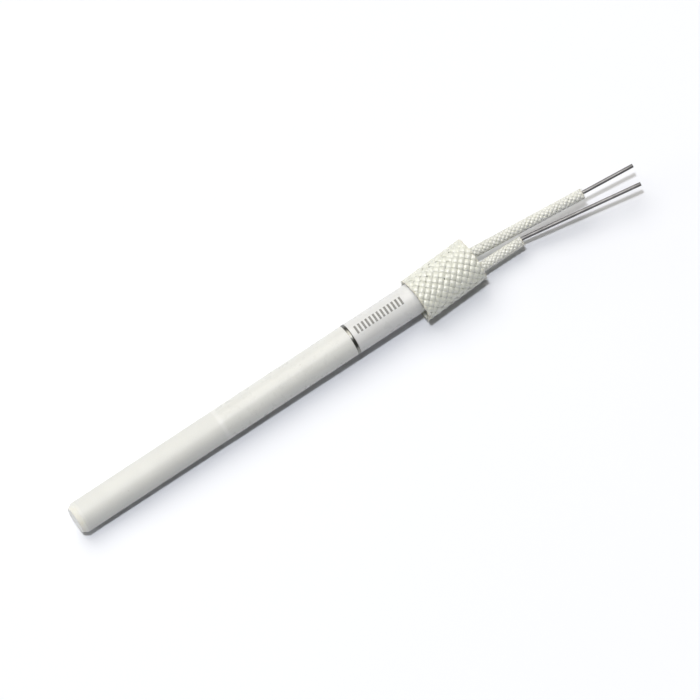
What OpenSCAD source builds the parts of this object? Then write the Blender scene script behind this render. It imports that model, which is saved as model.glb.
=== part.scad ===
// Ceramic rod heating element with two stiff leads in braided glass sleeves.
// Millimetres. The rod lies along X with its tip face at the origin and its leads toward +X.
// A direction around the rod is an angle in degrees from +Y toward +Z.

/* [Ceramic rod] */
// Length of the ceramic rod
rod_length = 64.5; // [64:0.1:64.8]
// Diameter of the rod behind its ground zone
rod_diameter = 5; // [4.96:0.01:5.02]
// Diameter of the solid core that the ceramic sheet is rolled on
core_diameter = 4; // [3.9:0.05:4.1]
// How far the ground front zone reaches from the tip
ground_end = 25.4; // [22:0.1:28]
// How much smaller the ground zone is in radius
ground_depth = 0.02; // [0.01:0.01:0.04]
// Length of the slope between the ground zone and the glazed zone
ground_slope = 0.7; // [0.6:0.1:1]
// Gap between the two edges of the rolled sheet
seam_gap = 0.44; // [0.3:0.02:0.6]
// Direction of that gap around the rod
seam_direction = -121; // [-123:1:-119]

/* [Nose seal] */
// Length of the seal ring over the front edge of the sheet
nose_length = 1.2; // [1:0.1:1.6]
// Length of its taper
nose_taper = 0.75; // [0.5:0.05:0.9]

/* [Printed heater] */
// Thickness of the fired tungsten print
print_thickness = 0.04; // [0.03:0.01:0.05]
// Front end of the heating meander
meander_front = 2.2; // [2:0.1:3]
// Rear end of the heating meander
meander_rear = 24.4; // [20:0.1:25]
// Number of lengthwise runs, which must be even
meander_runs = 12; // [8:2:12]
// Width of one run
meander_width = 0.42; // [0.3:0.02:0.44]
// Width of each supply track
supply_width = 1; // [0.9:0.05:1]

/* [Terminals] */
// Direction of the terminal of lead a
terminal_a_direction = -92; // [-93:1:-91]
// Direction of the terminal of lead b
terminal_b_direction = -150; // [-151:1:-149]
// Front edge of the terminal pads
pad_front = 61.2; // [61:0.1:61.4]
// Length of a terminal pad
pad_length = 3.1; // [2.9:0.1:3.1]
// Width of a terminal pad around the rod
pad_width = 1.4; // [1.3:0.05:1.5]
// Diameter of a filled hole between print and pad
via_diameter = 0.4; // [0.3:0.05:0.5]
// Thickness of the braze under the wire
braze_thickness = 0.03; // [0.02:0.01:0.04]

/* [Leads] */
// Diameter of the nickel lead wires
wire_diameter = 0.6; // [0.55:0.01:0.6]
// Outer diameter of the long lead sleeve
long_sleeve_diameter = 1.65; // [1.6:0.05:1.8]
// Outer diameter of the short lead sleeve
short_sleeve_diameter = 1.6; // [1.55:0.05:1.7]
// Bore of both lead sleeves
lead_sleeve_bore = 1.1; // [1.1:0.05:1.2]
// Length of the long lead sleeve
long_sleeve_length = 21.5; // [15:0.1:21.5]
// Length of the short lead sleeve
short_sleeve_length = 10; // [6:0.1:10]

/* [Outer sleeve] */
// Length of the outer braided sleeve
outer_sleeve_length = 10.6; // [10:0.1:11]
// Outer diameter of the outer braided sleeve
outer_sleeve_diameter = 7.1; // [7.05:0.01:7.3]
// Wall of the outer braided sleeve
outer_sleeve_wall = 0.35; // [0.3:0.01:0.35]
// Where the middle of the outer sleeve is along the rod
outer_sleeve_middle = 65.7; // [65.5:0.1:66]
// How far the middle of the sleeve sits off the rod's axis, toward +Y
outer_sleeve_offset = -0.2; // [-0.22:0.01:-0.15]
// How much the sleeve sits askew on the rod, in degrees
outer_sleeve_skew = 2.9; // [0:0.1:3]

/* [Marks] */
// Where the middle of the mark ring is along the rod
ring_position = 49.1; // [45:0.1:52]
// Width of the mark ring
ring_width = 0.53; // [0.4:0.01:0.8]
// Number of plain bars in the printed mark
bar_count = 13; // [8:1:13]
// Width of one bar along the rod
bar_width = 0.34; // [0.25:0.01:0.4]
// Distance between two bars
bar_pitch = 0.66; // [0.6:0.01:0.7]
// Height of a bar around the rod
bar_height = 1.35; // [1:0.05:1.5]

/* [Hidden] */
$fn = 96;

core_r = core_diameter / 2;
rod_r = rod_diameter / 2;
ground_r = rod_r - ground_depth;
wire_r = wire_diameter / 2;
print_r = core_r + print_thickness;
pad_r = rod_r - print_thickness;

// The sheet covers this much of a full turn, and the print keeps clear of its edges.
seam_span = arc_degrees(seam_gap, rod_r);
edge_margin = 12;
meander_start = seam_direction + seam_span / 2 + edge_margin;
meander_span = 360 - seam_span - 2 * edge_margin;
meander_pitch = meander_span / (meander_runs - 1);

supply_end = pad_front + pad_length - 0.4;
via_positions = [pad_front + 0.3 * pad_length, pad_front + 0.7 * pad_length];

// The wire lies on its pad with a little braze under it.
wire_seat = rod_r + braze_thickness + wire_r;
wire_front = pad_front + 0.2;
braze_front = wire_front - 0.1;
braze_end = pad_front + pad_length - 0.1;
braze_half_width = 0.62;
braze_lip = 0.07;

// The wires leave their pads behind the rod, turn in, and run out through their sleeves.
turn_in_x = 65;
wire_a_path = [
    concat(wire_front, around(terminal_a_direction, wire_seat)),
    concat(turn_in_x, around(terminal_a_direction, wire_seat)),
    [68.2, 1.47, -1.18],
    [90.5, -0.8, 0.19],
    [98.65, -1.65, 0.83]
];
wire_b_path = [
    concat(wire_front, around(terminal_b_direction, wire_seat)),
    concat(turn_in_x, around(terminal_b_direction, wire_seat)),
    [68.2, -1.28, -1.25],
    [79.3, -1.28, -1.25],
    [98.15, -4.49, 0.15]
];
bend_r = 1.5;
bend_step = 20; // degrees of turn between two runs of a bend
knuckle = 0.02; // how much larger in radius the ball at a corner is than the wire
lead_sleeve_start = 0.6; // from the wire's inner bend to the sleeve
long_sleeve_lean = 0.08; // how far the long sleeve sits off its wire, toward -Y
short_sleeve_lean = 0.2; // how far the short sleeve sits off its wire, toward -Y

ring_height = 0.03;
mark_start = 50.15;
mark_direction = 85;
mark_height = 0.03;

ceramic_white = [0.93, 0.93, 0.90];
ceramic_cream = [0.93, 0.91, 0.80];
print_grey = [0.35, 0.35, 0.36];
nickel = [0.72, 0.71, 0.69];
braze_silver = [0.80, 0.78, 0.72];
glass_braid = [0.90, 0.91, 0.82];

function arc_degrees(length, radius) = length / radius * 180 / PI;
function around(direction, radius) = [radius * cos(direction), radius * sin(direction)];
function unit(v) = v / norm(v);
function turn_angle(before, after) = acos(min(1, unit(before) * unit(after)));

// The matrix that puts the z axis along a direction and the origin at a point.
function frame_along(along, origin) =
    let (side = unit(cross(along, [0, 0, 1])), up = cross(side, along))
    [[side.x, -up.x, along.x, origin.x],
     [side.y, -up.y, along.y, origin.y],
     [side.z, -up.z, along.z, origin.z],
     [0, 0, 0, 1]];

// A solid of revolution about the rod's axis, from a profile of [radius, x] points.
module turned(profile) {
    rotate([0, 90, 0]) rotate_extrude() polygon(profile);
}

// A piece of tube between two radii and two places on the rod, centred on a direction.
module patch(inner_r, outer_r, x_from, x_to, direction, span) {
    rotate([0, 90, 0]) rotate(direction + 90 - span / 2) rotate_extrude(angle = span)
        translate([inner_r, x_from]) square([outer_r - inner_r, x_to - x_from]);
}

// A straight cylinder between two points, or a tube if it has a bore.
module straight(from, to, radius, bore_r = 0) {
    length = norm(to - from);
    multmatrix(frame_along(unit(to - from), from)) difference() {
        cylinder(h = length, r = radius);
        if (bore_r > 0) translate([0, 0, -1]) cylinder(h = length + 2, r = bore_r);
    }
}

// The points that round off one corner of a wire, or the corner itself where it hardly turns.
function corner_points(before, corner, after) =
    let (d_in = unit(corner - before),
         d_out = unit(after - corner),
         turn = turn_angle(d_in, d_out),
         steps = ceil(turn / bend_step))
    steps < 2 ? [corner]
    : let (inward = unit(d_out - d_in * (d_out * d_in)),
           centre = corner - d_in * bend_r * tan(turn / 2) + inward * bend_r)
      [for (k = [0:steps])
          centre + bend_r * (d_in * sin(turn * k / steps) - inward * cos(turn * k / steps))];

function rounded(path) = [
    path[0],
    for (i = [1:len(path) - 2]) each corner_points(path[i - 1], path[i], path[i + 1]),
    path[len(path) - 1]
];

// A round wire along a path, as straight runs that meet in balls, each with its poles along the wire.
module wire(path) {
    points = rounded(path);
    last = len(points) - 1;
    directions = [for (i = [0:last - 1]) unit(points[i + 1] - points[i])];
    for (i = [0:last - 1])
        straight(points[i], points[i + 1], wire_r);
    for (i = [1:last - 1])
        multmatrix(frame_along(unit(directions[i - 1] + directions[i]), points[i]))
            sphere(wire_r + knuckle);
}

// A tube on the straight run of a wire, just past that run's first bend, leaning on the wire.
module lead_sleeve(path, length, diameter, lean) {
    along = unit(path[3] - path[2]);
    start = path[2] + along * lead_sleeve_start - [0, lean, 0];
    straight(start, start + along * length, diameter / 2, lead_sleeve_bore / 2);
}

module supply_shape(direction, inner_r, outer_r) {
    patch(inner_r, outer_r, meander_rear, supply_end, direction, arc_degrees(supply_width, core_r));
}

module meander_shape(inner_r, outer_r) {
    run_span = arc_degrees(meander_width, core_r);
    for (i = [0:meander_runs - 1])
        patch(inner_r, outer_r, meander_front + meander_width, meander_rear - meander_width,
              meander_start + i * meander_pitch, run_span);
    for (i = [0:meander_runs - 2]) {
        at_front = i % 2 == 0;
        x_from = at_front ? meander_front : meander_rear - meander_width;
        patch(inner_r, outer_r, x_from, x_from + meander_width,
              meander_start + (i + 0.5) * meander_pitch, meander_pitch + run_span);
    }
    for (i = [0, meander_runs - 1])
        patch(inner_r, outer_r, meander_rear - meander_width, meander_rear,
              meander_start + i * meander_pitch, run_span);
}

module print_shape(inner_r, outer_r) {
    meander_shape(inner_r, outer_r);
    for (direction = [terminal_a_direction, terminal_b_direction])
        supply_shape(direction, inner_r, outer_r);
}

module via_posts(direction) {
    for (x = via_positions)
        translate([x, 0, 0]) rotate([direction - 90, 0, 0]) cylinder(h = rod_r + 1, d = via_diameter);
}

module pad_shape(direction, outer_r) {
    patch(pad_r, outer_r, pad_front, pad_front + pad_length, direction, arc_degrees(pad_width, rod_r));
}

module ceramic_core() {
    color(ceramic_white) turned([[0, 0], [core_r, 0], [core_r, rod_length], [0, rod_length]]);
}

module ceramic_sheet() {
    color(ceramic_white) difference() {
        turned([
            [core_r, nose_length],
            [ground_r, nose_length],
            [ground_r, ground_end],
            [rod_r, ground_end + ground_slope],
            [rod_r, rod_length],
            [core_r, rod_length]
        ]);
        patch(core_r - 1, rod_r + 1, nose_length - 1, rod_length + 1, seam_direction, seam_span);
        print_shape(core_r - 0.5, print_r);
        for (direction = [terminal_a_direction, terminal_b_direction]) {
            via_posts(direction);
            pad_shape(direction, rod_r + 0.5);
        }
    }
}

module nose_seal_ring() {
    color(ceramic_cream) turned([
        [core_r, 0],
        [ground_r, nose_taper],
        [ground_r, nose_length],
        [core_r, nose_length]
    ]);
}

module heater_track() {
    color(print_grey) meander_shape(core_r, print_r);
}

module supply_track(direction) {
    color(print_grey) supply_shape(direction, core_r, print_r);
}

module vias(direction) {
    color(print_grey) intersection() {
        via_posts(direction);
        turned([[print_r, pad_front], [pad_r, pad_front],
                [pad_r, rod_length], [print_r, rod_length]]);
    }
}

module terminal_pad(direction) {
    color(nickel) pad_shape(direction, rod_r);
}

module braze_joint(direction) {
    lip_y = wire_seat + braze_lip;
    lip_half = wire_r * 0.93;
    color(braze_silver) difference() {
        rotate([direction, 0, 0]) rotate([90, 0, 90]) translate([0, 0, braze_front])
            linear_extrude(braze_end - braze_front) polygon([
                [rod_r - 0.3, -braze_half_width],
                [rod_r - 0.05, -braze_half_width],
                [lip_y, -lip_half],
                [lip_y, lip_half],
                [rod_r - 0.05, braze_half_width],
                [rod_r - 0.3, braze_half_width]
            ]);
        turned([[0, 0], [rod_r, 0], [rod_r, rod_length], [0, rod_length]]);
        rotate([direction, 0, 0]) translate([wire_front, wire_seat, 0]) rotate([0, 90, 0])
            cylinder(h = rod_length, r = wire_r);
    }
}

module lead_wire_a() {
    color(nickel) wire(wire_a_path);
}

module lead_wire_b() {
    color(nickel) wire(wire_b_path);
}

module lead_sleeve_long() {
    color(glass_braid)
        lead_sleeve(wire_a_path, long_sleeve_length, long_sleeve_diameter, long_sleeve_lean);
}

module lead_sleeve_short() {
    color(glass_braid)
        lead_sleeve(wire_b_path, short_sleeve_length, short_sleeve_diameter, short_sleeve_lean);
}

module outer_sleeve() {
    color(glass_braid) translate([outer_sleeve_middle, outer_sleeve_offset, 0])
        rotate([0, 90, outer_sleeve_skew]) difference() {
            cylinder(h = outer_sleeve_length, d = outer_sleeve_diameter, center = true);
            cylinder(h = outer_sleeve_length + 2, d = outer_sleeve_diameter - 2 * outer_sleeve_wall,
                     center = true);
        }
}

module mark_ring() {
    edge = ring_width / 4;
    front = ring_position - ring_width / 2;
    back = ring_position + ring_width / 2;
    color("dimgray") turned([
        [rod_r, front],
        [rod_r + ring_height, front + edge],
        [rod_r + ring_height, back - edge],
        [rod_r, back]
    ]);
}

module printed_mark() {
    color("dimgray") for (i = [0:bar_count - 1])
        patch(rod_r, rod_r + mark_height, mark_start + i * bar_pitch,
              mark_start + i * bar_pitch + bar_width, mark_direction, arc_degrees(bar_height, rod_r));
}

ceramic_core();
ceramic_sheet();
nose_seal_ring();
heater_track();
supply_track(terminal_a_direction);  // supply_track_a
supply_track(terminal_b_direction);  // supply_track_b
vias(terminal_a_direction);  // vias_a
vias(terminal_b_direction);  // vias_b
terminal_pad(terminal_a_direction);  // terminal_pad_a
terminal_pad(terminal_b_direction);  // terminal_pad_b
braze_joint(terminal_a_direction);  // braze_joint_a
braze_joint(terminal_b_direction);  // braze_joint_b
lead_wire_a();
lead_wire_b();
lead_sleeve_long();
lead_sleeve_short();
outer_sleeve();
mark_ring();
printed_mark();
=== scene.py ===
"""Looks of the ceramic rod heating element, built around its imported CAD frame. Metres."""
import math
import random

import bpy
import numpy as np
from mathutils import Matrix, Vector


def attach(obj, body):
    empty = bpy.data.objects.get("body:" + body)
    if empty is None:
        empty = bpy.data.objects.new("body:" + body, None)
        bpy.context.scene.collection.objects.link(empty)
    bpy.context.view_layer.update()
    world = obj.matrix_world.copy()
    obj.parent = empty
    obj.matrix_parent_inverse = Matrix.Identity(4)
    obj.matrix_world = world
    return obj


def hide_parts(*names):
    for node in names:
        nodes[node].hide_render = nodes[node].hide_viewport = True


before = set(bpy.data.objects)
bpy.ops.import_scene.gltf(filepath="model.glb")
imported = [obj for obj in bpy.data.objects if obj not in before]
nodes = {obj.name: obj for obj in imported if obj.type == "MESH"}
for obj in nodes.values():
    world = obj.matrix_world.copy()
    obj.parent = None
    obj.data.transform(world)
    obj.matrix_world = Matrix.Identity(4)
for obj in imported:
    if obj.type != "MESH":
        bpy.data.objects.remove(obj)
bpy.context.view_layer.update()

MM = 0.001
rng = random.Random(7)

# The camera looks at this point of the rod, nearly without perspective.
VIEW_AZIMUTH, VIEW_ELEVATION = math.radians(-34.25), math.radians(75)
VIEW_TARGET = Vector((48.15, -1.28, 0)) * MM
VIEW_WIDTH = 103.55 * MM
LENS, SENSOR = 800, 36
LIGHT_DISTANCE = 3.0


# --- camera, floor and light ------------------------------------------------

def view_back():
    a, e = VIEW_AZIMUTH, VIEW_ELEVATION
    return Vector((math.sin(a) * math.cos(e), -math.cos(a) * math.cos(e), math.sin(e)))


def link(obj):
    bpy.context.scene.collection.objects.link(obj)
    return obj


def aim(obj, target):
    obj.rotation_mode = "QUATERNION"
    obj.rotation_quaternion = (target - obj.location).to_track_quat("-Z", "Y")


def make_camera():
    data = bpy.data.cameras.new("camera")
    data.lens, data.sensor_width = LENS, SENSOR
    data.clip_start, data.clip_end = 0.01, 20
    camera = link(bpy.data.objects.new("camera", data))
    camera.location = VIEW_TARGET + view_back() * (VIEW_WIDTH * LENS / SENSOR)
    aim(camera, VIEW_TARGET)
    bpy.context.scene.camera = camera


def area_light(name, direction, size, brightness, colour):
    """A round light that gives a facing white surface that brightness, where 1 is white."""
    data = bpy.data.lights.new(name, "AREA")
    data.shape, data.size = "DISK", size
    data.energy, data.color = brightness * (math.pi * LIGHT_DISTANCE) ** 2, colour
    lamp = link(bpy.data.objects.new(name, data))
    lamp.location = VIEW_TARGET + Vector(direction).normalized() * LIGHT_DISTANCE
    aim(lamp, VIEW_TARGET)


def make_light():
    world = bpy.data.worlds.new("tent")
    world.use_nodes = True
    background = world.node_tree.nodes["Background"]
    background.inputs["Color"].default_value = (1.10, 1.0, 0.90, 1)
    background.inputs["Strength"].default_value = 0.045
    bpy.context.scene.world = world
    area_light("key", (-0.080, 0.036, 1), 0.22, 0.50, (0.98, 0.995, 1.04))
    area_light("side_softbox", (0.0, 0.492, 0.870), 2.8, 0.73, (1.04, 1.005, 0.93))
    area_light("tip_fill", (-1, 0.35, 0.22), 1.4, 0.26, (1.0, 1.0, 1.0))
    bpy.context.scene.view_settings.view_transform = "Standard"


# --- shading helpers --------------------------------------------------------

class Shader:
    """A material's node tree, with one call for each kind of node it needs."""

    def __init__(self, name, colour, roughness, **sockets):
        self.material = bpy.data.materials.new(name)
        self.material.use_nodes = True
        self.tree = self.material.node_tree
        self.bsdf = self.tree.nodes["Principled BSDF"]
        self.set(self.bsdf, "Base Color", (*colour, 1))
        self.set(self.bsdf, "Roughness", roughness)
        for key, value in sockets.items():
            self.set(self.bsdf, key.replace("_", " "), value)
        self.coords = self.node("ShaderNodeTexCoord").outputs["Object"]

    def node(self, kind, **properties):
        made = self.tree.nodes.new(kind)
        for key, value in properties.items():
            setattr(made, key, value)
        return made

    def set(self, made, socket, value):
        if isinstance(value, bpy.types.NodeSocket):
            self.tree.links.new(value, made.inputs[socket])
        else:
            made.inputs[socket].default_value = value

    def scaled(self, scale, source=None):
        made = self.node("ShaderNodeMapping")
        self.set(made, "Vector", source or self.coords)
        self.set(made, "Scale", scale)
        return made.outputs["Vector"]

    def noise(self, scale, detail=3, source=None, roughness=0.55):
        """Noise with a number as scale in features a metre, or three numbers, one an axis."""
        if not isinstance(scale, (tuple, list)):
            scale = (scale,) * 3
        made = self.node("ShaderNodeTexNoise")
        self.set(made, "Vector", self.scaled(scale, source))
        self.set(made, "Scale", 1)
        self.set(made, "Detail", detail)
        self.set(made, "Roughness", roughness)
        return made.outputs["Fac"]

    def ramp(self, value, *stops):
        """Maps a value through (place, grey or colour) stops."""
        made = self.node("ShaderNodeValToRGB")
        self.set(made, "Fac", value)
        points = made.color_ramp.elements
        while len(points) < len(stops):
            points.new(0.5)
        for point, (place, colour) in zip(points, stops):
            point.position = place
            point.color = (*colour, 1) if isinstance(colour, tuple) else (colour,) * 3 + (1,)
        return made.outputs["Color"]

    def along(self, axis, start, end):
        """0 before start and 1 after end, both in metres along one axis of the row frame."""
        split = self.node("ShaderNodeSeparateXYZ")
        self.set(split, "Vector", self.coords)
        made = self.node("ShaderNodeMapRange")
        self.set(made, "Value", split.outputs[axis])
        self.set(made, "From Min", start)
        self.set(made, "From Max", end)
        return made.outputs["Result"]

    def mix(self, factor, a, b, kind="MIX"):
        made = self.node("ShaderNodeMix", data_type="RGBA", blend_type=kind)
        self.set(made, "Factor", factor)
        for socket, value in ((6, a), (7, b)):
            if isinstance(value, bpy.types.NodeSocket):
                self.tree.links.new(value, made.inputs[socket])
            else:
                made.inputs[socket].default_value = (*value, 1)
        return made.outputs[2]

    def math(self, kind, a, b=0.0, c=0.0):
        made = self.node("ShaderNodeMath", operation=kind)
        for i, value in enumerate((a, b, c)):
            self.set(made, i, value)
        return made.outputs["Value"]

    def bump(self, *layers):
        """Layers of (height, depth in metres), one on the other."""
        normal = None
        for height, depth in layers:
            made = self.node("ShaderNodeBump")
            self.set(made, "Height", height)
            self.set(made, "Distance", depth)
            self.set(made, "Strength", 1)
            if normal:
                self.set(made, "Normal", normal)
            normal = made.outputs["Normal"]
        self.set(self.bsdf, "Normal", normal)

    def colour(self, value):
        self.set(self.bsdf, "Base Color", value)

    def roughness(self, value):
        self.set(self.bsdf, "Roughness", value)


# --- materials --------------------------------------------------------------

GROUND_END, GLAZE_START = 25.4 * MM, 26.1 * MM
RING_X = 49.1 * MM


def ceramic_material():
    s = Shader("fired_alumina", (0.8, 0.8, 0.76), 0.35, Subsurface_Weight=0.05, Specular_IOR_Level=0.35,
               Subsurface_Radius=(0.9, 0.8, 0.6), Subsurface_Scale=0.7 * MM)
    warm, cool, lip = (0.712, 0.718, 0.688), (0.708, 0.712, 0.704), (0.755, 0.760, 0.735)
    zone = s.mix(s.along(0, RING_X - 0.2 * MM, RING_X + 0.2 * MM), warm, cool)
    rising = s.along(0, GROUND_END, GROUND_END + 0.25 * MM)
    falling = s.along(0, GLAZE_START - 0.2 * MM, GLAZE_START + 0.3 * MM)
    zone = s.mix(s.math("SUBTRACT", rising, falling), zone, lip)
    cloud = s.ramp(s.noise(260, 4), (0.3, 0.955), (0.7, 1.0))
    zone = s.mix(1.0, zone, cloud, "MULTIPLY")
    fine = s.ramp(s.noise(5200, 2), (0.25, 0.975), (0.6, 1.0))
    zone = s.mix(1.0, zone, fine, "MULTIPLY")
    # a few dark specks, and faint grey rub marks that run along the rod
    specks = s.ramp(s.noise(620, 1), (0.185, 1.0), (0.215, 0.0))
    zone = s.mix(s.math("MULTIPLY", specks, 0.45), zone, (0.36, 0.33, 0.28))
    rubs = s.ramp(s.noise((70, 1500, 1500), 2), (0.69, 0.0), (0.80, 0.16))
    s.colour(s.mix(rubs, zone, (0.57, 0.56, 0.53)))
    glaze = s.along(0, GROUND_END, GLAZE_START)
    s.roughness(s.math("MULTIPLY_ADD", glaze, -0.20, s.math("MULTIPLY_ADD", s.noise(900), 0.08, 0.44)))
    grinding = s.math("MULTIPLY", s.noise((9000, 60, 60), 2), s.math("SUBTRACT", 1.0, glaze))
    s.bump((s.noise(14000, 2), 0.0016 * MM), (grinding, 0.0022 * MM), (s.noise(420, 2), 0.006 * MM))
    return s.material


def nose_material():
    """Cream cement that fades into the white of the sheet behind it, more in some places."""
    s = Shader("nose_cement", (0.8, 0.78, 0.68), 0.5, Subsurface_Weight=0.1,
               Subsurface_Radius=(0.9, 0.7, 0.4), Subsurface_Scale=0.5 * MM)
    cream = s.ramp(s.noise(1500, 4), (0.32, (0.69, 0.675, 0.59)), (0.55, (0.74, 0.733, 0.665)))
    patch = s.math("MULTIPLY_ADD", s.noise(450, 2), 1.8, -0.70)
    fade = s.math("ADD", s.along(0, 0.45 * MM, 1.2 * MM), patch)
    s.colour(s.mix(s.ramp(fade, (0.15, 0.0), (0.85, 1.0)), cream, (0.72, 0.724, 0.692)))
    s.bump((s.noise(6500, 4), 0.006 * MM), (s.noise(1500, 2), 0.015 * MM))
    return s.material


def print_material(name, dark, light, roughness, metallic, gaps=0.0):
    """A fired or stamped print: grainy, and worn through where gaps is above 0."""
    s = Shader(name, dark, roughness, Metallic=metallic)
    grain = s.ramp(s.noise(5200, 4), (0.3, dark), (0.7, light))
    if gaps:
        worn = s.ramp(s.noise(4200, 3), (0.60, 0.0), (0.68, gaps))
        grain = s.mix(worn, grain, (0.55, 0.55, 0.52))
    s.colour(grain)
    s.bump((s.noise(9000, 2), 0.002 * MM))
    return s.material


def metal_material(name, colour, dull, roughness, stretch, depth):
    """Metal with a grain that is stretched along each axis as asked, and dull patches."""
    s = Shader(name, colour, roughness, Metallic=1.0)
    patches = s.ramp(s.noise(700, 3), (0.35, dull), (0.65, colour))
    s.colour(patches)
    s.roughness(s.math("MULTIPLY_ADD", s.noise(1600, 2), 0.22, roughness - 0.08))
    s.bump((s.noise(stretch, 3), depth))
    return s.material


def braid_material(name, tint, shade, streaks):
    """Glass yarn. U runs along the yarn in metres and V across it, from 0 to 1."""
    s = Shader(name, tint, 0.3, Subsurface_Weight=0.1, Subsurface_Radius=(0.9, 0.9, 0.6),
               Subsurface_Scale=0.2 * MM, Sheen_Weight=0.1, Sheen_Roughness=0.4,
               Specular_IOR_Level=1.0, Anisotropic=0.85, Anisotropic_Rotation=0.25)
    uv = s.node("ShaderNodeTexCoord").outputs["UV"]
    fibres = s.noise((700, streaks, 1), 3, uv, 0.6)
    tone = s.ramp(fibres, (0.30, shade), (0.55, tint))
    bundle = s.ramp(s.noise(900, 2), (0.3, 0.93), (0.7, 1.0))
    tone = s.mix(1.0, tone, bundle, "MULTIPLY")
    cut = s.node("ShaderNodeAttribute", attribute_name="cut").outputs["Fac"]
    browned = s.math("MULTIPLY", cut, s.ramp(s.noise(1400, 2), (0.40, 0.05), (0.70, 0.5)))
    s.colour(s.mix(browned, tone, (0.52, 0.43, 0.27)))
    s.roughness(s.math("MULTIPLY_ADD", fibres, 0.2, 0.22))
    # the glass shines across its fibres, like hair
    tangent = s.node("ShaderNodeTangent", direction_type="UV_MAP", uv_map="yarn")
    s.set(s.bsdf, "Tangent", tangent.outputs["Tangent"])
    s.bump((fibres, 0.022 * MM), (s.noise((2500, streaks * 2.5, 1), 2, uv), 0.008 * MM))
    return s.material


def fray_material():
    s = Shader("glass_fibre_ends", (0.86, 0.86, 0.80), 0.35, Sheen_Weight=0.1)
    s.colour(s.ramp(s.noise(2500, 2), (0.35, (0.70, 0.66, 0.54)), (0.6, (0.86, 0.86, 0.80))))
    return s.material


def floor_material():
    s = Shader("white_paper", (0.885, 0.905, 0.95), 0.9, Specular_IOR_Level=0.1)
    s.colour(s.ramp(s.noise(9, 3), (0.3, (0.880, 0.900, 0.946)), (0.7, (0.890, 0.909, 0.953))))
    s.bump((s.noise(2200, 3), 0.004 * MM))
    return s.material


# --- meshes -----------------------------------------------------------------

def mesh_object(name, vertices, faces, material, smooth=True):
    data = bpy.data.meshes.new(name)
    data.from_pydata([tuple(v) for v in vertices], [], faces)
    data.materials.append(material)
    data.polygons.foreach_set("use_smooth", [smooth] * len(data.polygons))
    data.update()
    return link(bpy.data.objects.new(name, data))


def grid_faces(rows, columns, first=0):
    """Quads of a tube of rings, each a closed loop of columns points."""
    faces = []
    for i in range(rows - 1):
        for j in range(columns):
            a, b = first + i * columns, first + (i + 1) * columns
            k = (j + 1) % columns
            faces.append((a + j, a + k, b + k, b + j))
    return faces


def frame_of(start, end):
    """The matrix whose x axis runs from start to end."""
    along = (Vector(end) - Vector(start)).normalized()
    side = Vector((0, 0, 1)).cross(along).normalized()
    up = along.cross(side)
    return np.array([[along[i], side[i], up[i], start[i]] for i in range(3)])


def yarn_profile(width, thickness, strands):
    """A flat yarn's cross-section as (across, height, v) rows: a lens with a ridge for each strand."""
    steps = strands * 4
    rows = []
    for side in (1, -1):
        for k in range(steps):
            u = -1 + 2 * k / steps if side > 0 else 1 - 2 * k / steps
            crown = (1 - abs(u) ** 2) ** 0.7
            ridge = 1 - 0.10 * (0.5 + 0.5 * math.cos(math.pi * (u + 1) * strands))
            rows.append((u * width / 2, side * crown * ridge * thickness / 2, (u + 1) / 2))
    return np.array(rows)


# A yarn's thickness and how far it swings in and out, as parts of the sleeve's wall, and how much
# of its share of the surface it covers.
YARN_THICKNESS, YARN_SWING, YARN_COVER = 0.68, 0.35, 0.95
STEPS_PER_PITCH = 14
CUT_BROWNING = 0.35 * MM  # how far the browning of a cut end reaches
WIRE_BEND_R = 1.5 * MM


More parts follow.
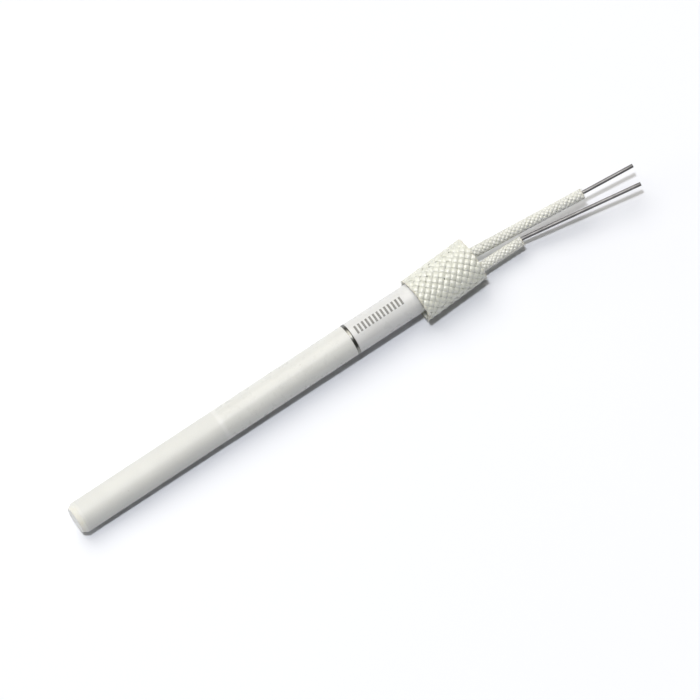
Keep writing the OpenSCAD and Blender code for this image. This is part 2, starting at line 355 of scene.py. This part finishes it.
def braid(name, start, end, bore_r, outer_r, yarns, pitch, material, strands, ragged, oval=0.0):
    """A one over one braid of two sets of yarns between two points. pitch is how far along the
    sleeve a yarn goes while it moves on by one yarn of its own set."""
    length = (Vector(end) - Vector(start)).length
    wall = outer_r - bore_r
    middle_r = (outer_r + bore_r) / 2
    thickness, swing = wall * YARN_THICKNESS, wall * YARN_SWING
    spacing = 2 * math.pi * middle_r / yarns
    angle = math.atan2(spacing, pitch)
    width = spacing * math.cos(angle) * YARN_COVER
    vertices, faces, uvs, cuts = [], [], [], []
    place = frame_of(start, end)
    for way in (1, -1):
        for i in range(yarns):
            shift = rng.uniform(-0.045, 0.045)
            thick = thickness * rng.uniform(0.93, 1.05)
            profile = yarn_profile(width * rng.uniform(0.95, 1.03), thick, strands)
            x_from = -rng.uniform(0, ragged)
            x_to = length + rng.uniform(-ragged, ragged * 0.6)
            count = int((x_to - x_from) / pitch * STEPS_PER_PITCH) + 1
            xs = np.linspace(x_from, x_to, count)
            across = profile[:, 0]
            # each ring lies in a plane across the sleeve, so that the ends are cut clean
            turns = (xs[:, None] + way * math.sin(angle) * across[None, :]) / pitch
            lift = swing * rng.uniform(0.92, 1.05)
            wander = 0.03 * np.sin(turns * 0.9 + rng.uniform(0, 6.28))
            theta = 2 * math.pi / yarns * (i + shift + wander + way * turns)
            wave = np.cos(2 * math.pi * turns)
            radial = middle_r + way * lift * np.sign(wave) * np.abs(wave) ** 0.8
            x = np.repeat(xs[:, None], len(across), 1)
            t = theta + math.cos(angle) * across[None, :] / middle_r
            r = radial + profile[None, :, 1]
            r = r * (1 + oval * np.cos(2 * t + 0.6))
            local = np.stack([x, r * np.cos(t), r * np.sin(t), np.ones_like(x)], -1)
            points = (local.reshape(-1, 4) @ place.T)
            first, columns = len(vertices), len(profile)
            vertices.extend(points.tolist())
            faces.extend(grid_faces(count, columns, first))
            faces.append(tuple(first + j for j in range(columns)))
            faces.append(tuple(first + (count - 1) * columns + j for j in reversed(range(columns))))
            run = (xs - x_from) / math.cos(angle) + rng.uniform(0, 5)
            v = profile[:, 2] * 0.8 + 0.1 + i + (0 if way > 0 else 50)
            uvs.extend(zip(np.repeat(run, columns), np.tile(v, count)))
            end_distance = np.minimum(xs - x_from, x_to - xs)
            cuts.extend(np.repeat(np.clip(1 - end_distance / CUT_BROWNING, 0, 1) ** 1.5, columns))
    made = mesh_object(name, vertices, faces, material)
    data = made.data
    layer = data.uv_layers.new(name="yarn")
    indices = np.empty(len(data.loops), int)
    data.loops.foreach_get("vertex_index", indices)
    layer.data.foreach_set("uv", np.array(uvs, np.float32)[indices].ravel())
    data.attributes.new("cut", "FLOAT", "POINT").data.foreach_set("value", np.array(cuts, np.float32))
    return made


def frays(name, end, inward, bore_r, outer_r, count, material):
    """Loose fibre ends that stand out of a cut braid. inward is the direction back into it."""
    end, inward = Vector(end), Vector(inward).normalized()
    side = inward.orthogonal().normalized()
    up = inward.cross(side)
    steps, sides = 7, 5
    vertices, faces = [], []
    for _ in range(count):
        angle, reach = rng.uniform(0, 2 * math.pi), rng.uniform(0.12, 0.55) ** 1.3 * MM * 1.4
        out = side * math.cos(angle) + up * math.sin(angle)
        around_it = inward.cross(out)
        start = end + out * rng.uniform(bore_r * 1.06, outer_r * 0.97) + inward * 0.25 * MM
        lean = -inward + out * rng.uniform(-0.15, 0.75) + around_it * rng.uniform(-0.9, 0.9)
        lean = lean.normalized()
        curl = out * rng.uniform(-0.8, 0.5) + around_it * rng.uniform(-1, 1)
        radius = rng.uniform(0.010, 0.020) * MM
        across = lean.orthogonal().normalized()
        over = lean.cross(lean.orthogonal()).normalized()
        first = len(vertices)
        for k in range(steps):
            t = k / (steps - 1)
            centre = start + lean * (reach + 0.25 * MM) * t + curl * reach * 0.5 * t * t
            size = radius * (1 - 0.5 * t)
            vertices.extend(centre + (across * math.cos(a) + over * math.sin(a)) * size
                            for a in (2 * math.pi * j / sides for j in range(sides)))
        faces.extend(grid_faces(steps, sides, first))
        faces.append(tuple(first + j for j in reversed(range(sides))))
        faces.append(tuple(first + (steps - 1) * sides + j for j in range(sides)))
    return mesh_object(name, vertices, faces, material)


def rounded_path(corners, bend_r, step):
    """Points along a path of straight runs whose corners are arcs."""
    points = [Vector(corners[0])]
    for before, corner, after in zip(corners, corners[1:], corners[2:]):
        before, corner, after = Vector(before), Vector(corner), Vector(after)
        d_in, d_out = (corner - before).normalized(), (after - corner).normalized()
        turn = d_in.angle(d_out)
        if turn < math.radians(3):
            points.append(corner)
            continue
        inward = (d_out - d_in * d_in.dot(d_out)).normalized()
        centre = corner - d_in * bend_r * math.tan(turn / 2) + inward * bend_r
        count = max(2, int(turn / step))
        for k in range(count + 1):
            a = turn * k / count
            points.append(centre + bend_r * (d_in * math.sin(a) - inward * math.cos(a)))
    points.append(Vector(corners[-1]))
    return points


def resampled(points, spacing):
    """The same path with points at most spacing apart on its straight runs."""
    made = [points[0]]
    for a, b in zip(points, points[1:]):
        count = max(1, int((b - a).length / spacing))
        made.extend(a.lerp(b, (k + 1) / count) for k in range(count))
    return made


def wire(name, corners, radius, material, sides=20):
    """A drawn wire along a path, cut square with a small bevel at its end."""
    path = resampled(rounded_path(corners, WIRE_BEND_R, math.radians(4)), 1.2 * MM)
    tangents = [(path[min(i + 1, len(path) - 1)] - path[max(i - 1, 0)]).normalized()
                for i in range(len(path))]
    normal = tangents[0].orthogonal().normalized()
    rings = []
    for i, (point, tangent) in enumerate(zip(path, tangents)):
        normal = (normal - tangent * normal.dot(tangent)).normalized()
        other = tangent.cross(normal)
        last = i == len(path) - 1
        bevel = radius * 0.1
        for inset, back in (((0, bevel), (0.25, bevel * 0.25), (1, 0)) if last else ((0, 0),)):
            size = radius - inset * bevel + (0.0 if last else radius * 0.012 * math.sin(i * 1.7))
            rings.append([point - tangent * back + (normal * math.cos(a) + other * math.sin(a)) * size
                          for a in (2 * math.pi * k / sides for k in range(sides))])
    vertices = [v for ring in rings for v in ring]
    faces = grid_faces(len(rings), sides)
    faces.append(tuple(reversed(range(sides))))
    faces.append(tuple(len(vertices) - sides + k for k in range(sides)))
    return mesh_object(name, vertices, faces, material)


def put(piece, body, slot, *replaced):
    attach(piece, body)
    if replaced:
        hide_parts(*replaced)
    return piece


# --- the object -------------------------------------------------------------

make_camera()
make_light()

ceramic = ceramic_material()
nickel = metal_material("nickel_wire", (0.27, 0.267, 0.268), (0.20, 0.197, 0.197), 0.50,
                        (400, 16000, 16000), 0.004 * MM)
pad_metal = metal_material("nickel_pad", (0.66, 0.63, 0.57), (0.50, 0.47, 0.42), 0.42, 5000, 0.006 * MM)
braze = metal_material("braze_alloy", (0.72, 0.69, 0.62), (0.55, 0.50, 0.40), 0.32, 2600, 0.02 * MM)
tungsten = print_material("tungsten_print", (0.10, 0.10, 0.105), (0.20, 0.20, 0.21), 0.6, 0.4)
looks = {
    "ceramic_core": ceramic,
    "ceramic_sheet": ceramic,
    "nose_seal_ring": nose_material(),
    "heater_track": tungsten,
    "supply_track_a": tungsten,
    "supply_track_b": tungsten,
    "vias_a": tungsten,
    "vias_b": tungsten,
    "terminal_pad_a": pad_metal,
    "terminal_pad_b": pad_metal,
    "braze_joint_a": braze,
    "braze_joint_b": braze,
    "mark_ring": print_material("mark_ring_metal", (0.19, 0.19, 0.175), (0.28, 0.28, 0.26), 0.33, 1.0),
    "printed_mark": print_material("mark_ink", (0.15, 0.15, 0.14), (0.27, 0.27, 0.255), 0.5, 0.0, 0.7),
}
for name, look in looks.items():
    slots = nodes[name].material_slots
    for entry in slots:
        entry.material = look
    if not slots:
        nodes[name].data.materials.append(look)

# Wires: the same corners as the CAD wires.
WIRE_R = 0.3 * MM


def around(direction, radius):
    a = math.radians(direction)
    return radius * math.cos(a), radius * math.sin(a)


SEAT = 2.83
WIRE_A = [(61.4, *around(-92, SEAT)), (65, *around(-92, SEAT)), (68.2, 1.47, -1.18),
          (90.5, -0.8, 0.19), (98.65, -1.65, 0.83)]
WIRE_B = [(61.4, *around(-150, SEAT)), (65, *around(-150, SEAT)), (68.2, -1.28, -1.25),
          (79.3, -1.28, -1.25), (98.15, -4.49, 0.15)]
WIRE_A, WIRE_B = ([tuple(v * MM for v in p) for p in path] for path in (WIRE_A, WIRE_B))
put(wire("wire_a", WIRE_A, WIRE_R, nickel), "heater", "nickel", "lead_wire_a")
put(wire("wire_b", WIRE_B, WIRE_R, nickel), "heater", "nickel", "lead_wire_b")


def on_run(path, distance, lean):
    """A point on the axis of the sleeve that leans on the wire behind its inner bend."""
    a, b = Vector(path[2]), Vector(path[3])
    return a + (b - a).normalized() * distance - Vector((0, lean, 0))


outer_glass = braid_material("glass_braid_outer", (0.80, 0.81, 0.735), (0.57, 0.58, 0.50), 9)
lead_glass = braid_material("glass_braid_lead", (0.81, 0.815, 0.76), (0.60, 0.605, 0.54), 7)
fray_glass = fray_material()
SLEEVE_START, LONG, SHORT = 0.6 * MM, 21.5 * MM, 10 * MM
LONG_LEAN, SHORT_LEAN = 0.08 * MM, 0.2 * MM
SKEW = math.radians(2.9)
SLEEVE_MIDDLE, SLEEVE_HALF = Vector((65.7, -0.2, 0)) * MM, 5.3 * MM
askew = Vector((math.cos(SKEW), math.sin(SKEW), 0))
RAGGED = 0.05 * MM


def woven_sleeve(name, body, node, front, rear, bore_r, outer_r, loose, glass, **weave):
    """A braid with loose fibres at its two cut ends, in place of a CAD tube."""
    put(braid(name, front, rear, bore_r, outer_r, material=glass, ragged=RAGGED, **weave),
        body, "glass_braid", node)
    for place, end, inward in (("front", front, rear - front), ("rear", rear, front - rear)):
        put(frays(f"{name}_{place}_frays", end, inward, bore_r, outer_r, loose, fray_glass),
            body, "glass_braid")


woven_sleeve("long_braid", "long_lead_sleeve", "lead_sleeve_long",
             on_run(WIRE_A, SLEEVE_START, LONG_LEAN), on_run(WIRE_A, SLEEVE_START + LONG, LONG_LEAN),
             0.55 * MM, 0.825 * MM, 26, lead_glass, yarns=6, pitch=0.8 * MM, strands=3)
woven_sleeve("short_braid", "short_lead_sleeve", "lead_sleeve_short",
             on_run(WIRE_B, SLEEVE_START, SHORT_LEAN), on_run(WIRE_B, SLEEVE_START + SHORT, SHORT_LEAN),
             0.55 * MM, 0.8 * MM, 26, lead_glass, yarns=6, pitch=0.8 * MM, strands=3)
woven_sleeve("outer_braid", "outer_sleeve", "outer_sleeve",
             SLEEVE_MIDDLE - askew * SLEEVE_HALF, SLEEVE_MIDDLE + askew * SLEEVE_HALF,
             3.2 * MM, 3.55 * MM, 60, outer_glass, yarns=16, pitch=1.22 * MM, strands=4, oval=0.006)

# The floor touches the tip's underside and the front edge of the outer sleeve.
FLOOR_SLOPE, FLOOR_AT_TIP, FLOOR_HALF = -0.0189, -2.5 * MM, 2.0
corners = [(x * FLOOR_HALF, y * FLOOR_HALF, FLOOR_AT_TIP + FLOOR_SLOPE * (x * FLOOR_HALF))
           for x, y in ((-1, -1), (1, -1), (1, 1), (-1, 1))]
mesh_object("floor", corners, [(0, 1, 2, 3)], floor_material(), smooth=False)
